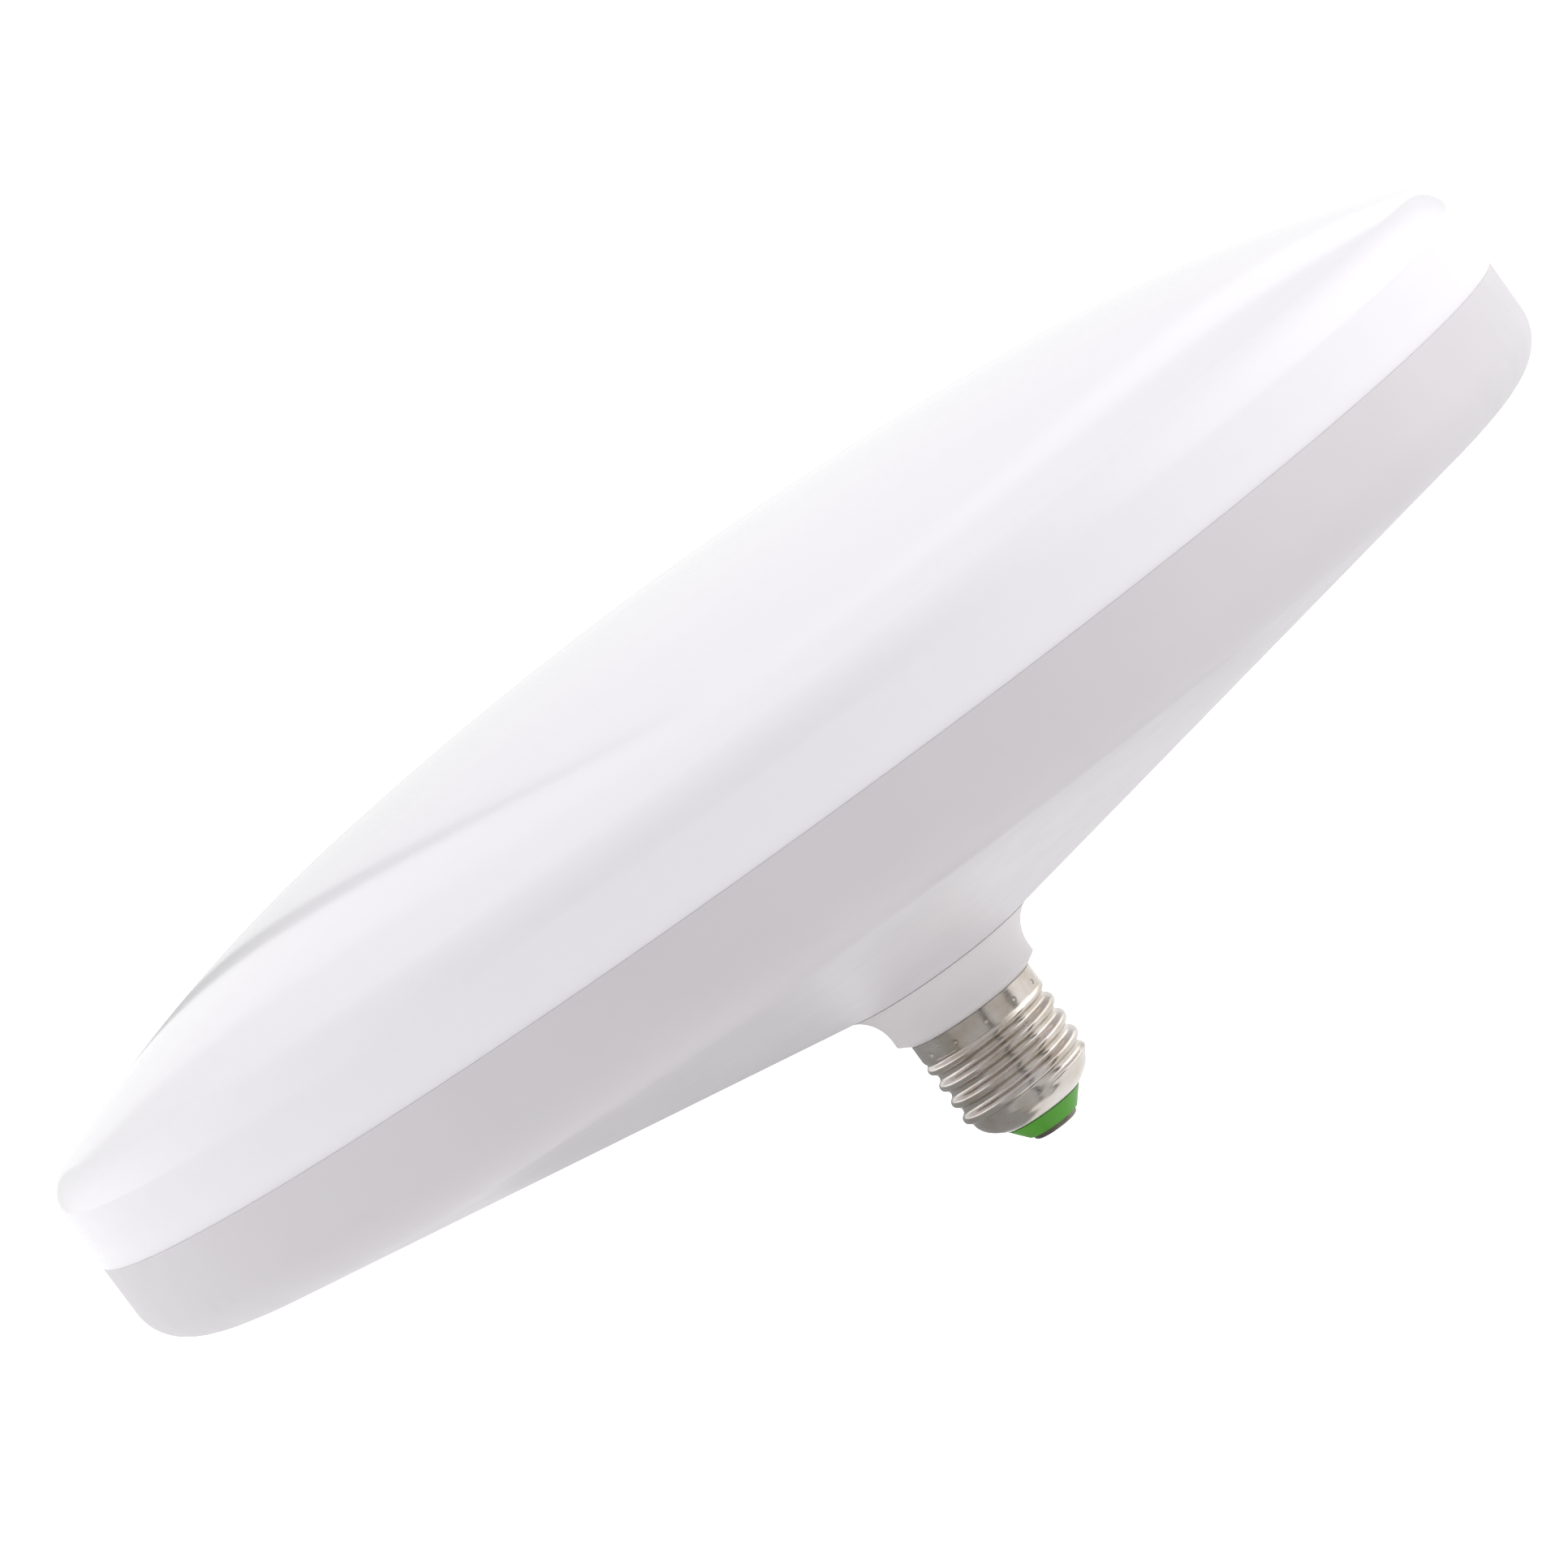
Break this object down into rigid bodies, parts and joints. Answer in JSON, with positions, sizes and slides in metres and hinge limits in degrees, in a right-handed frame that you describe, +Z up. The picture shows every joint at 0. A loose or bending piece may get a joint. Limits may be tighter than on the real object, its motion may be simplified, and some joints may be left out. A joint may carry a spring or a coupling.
{
  "type": "led disc lamp",
  "caption": "Wide shallow LED lamp with a milky domed diffuser on a conical white back housing, a short neck and a nickel E27 screw cap with a green insulator.",
  "frame": {"origin": "tip of the centre contact, on the lamp's axis", "axes": "+Z up the axis from the screw cap to the diffuser, +X and +Y across the disc, with the driver board's length along X"},
  "size_m": [0.3, 0.3, 0.1216],
  "materials": {
    "diffuser": "milky translucent with a soft sheen",
    "housing": "satin moulded white",
    "neck": "satin moulded white",
    "shell_metal": "bright nickel plate",
    "insulator": "glossy green",
    "contact_metal": "tinned",
    "heat_plate": "plain sheet",
    "board_white": "white solder mask on an aluminium base",
    "phosphor": "yellow phosphor resin in a white case",
    "film": "thin polyester film",
    "screw_steel": "zinc plated",
    "circuit_board": "phenolic board",
    "ferrite": "sintered ferrite",
    "bobbin": "black moulding",
    "tape": "yellow tape over copper wire",
    "can_sleeve": "black shrink sleeve",
    "film_cap": "dipped resin",
    "copper": "enamelled copper wire",
    "black_resin": "moulded resin",
    "varistor": "dipped resin",
    "fuse_body": "coated ceramic",
    "socket": "white nylon",
    "wire_red": "wire insulation",
    "wire_black": "wire insulation",
    "wire_white": "wire insulation"
  },
  "bodies": {
    "root": {"diffuser_cover": "diffuser", "back_housing": "housing", "neck_sleeve": "neck", "screw_shell": "shell_metal", "cap_insulator": "insulator", "centre_contact": "contact_metal", "heat_plate": "heat_plate", "led_board": "board_white", "insulating_sheet": "film", "led_chips": "phosphor", "board_screws": "screw_steel", "driver_screws": "screw_steel", "neck_screws": "screw_steel", "driver_board": "circuit_board", "transformer_core": "ferrite", "transformer_bobbin": "bobbin", "transformer_winding": "tape", "transformer_base": "bobbin", "input_capacitor": "can_sleeve", "output_capacitor": "can_sleeve", "film_capacitor": "film_cap", "choke_core": "ferrite", "choke_winding": "copper", "bridge_rectifier": "black_resin", "surge_varistor": "varistor", "fuse_resistor": "fuse_body", "output_diode": "black_resin", "driver_chip": "black_resin", "power_transistor": "black_resin", "chip_resistors": "black_resin", "wire_socket": "socket", "terminal_block": "socket", "live_wire": "wire_red", "neutral_wire": "wire_white", "led_wire_positive": "wire_red", "led_wire_negative": "wire_black"}
  },
  "joints": []
}
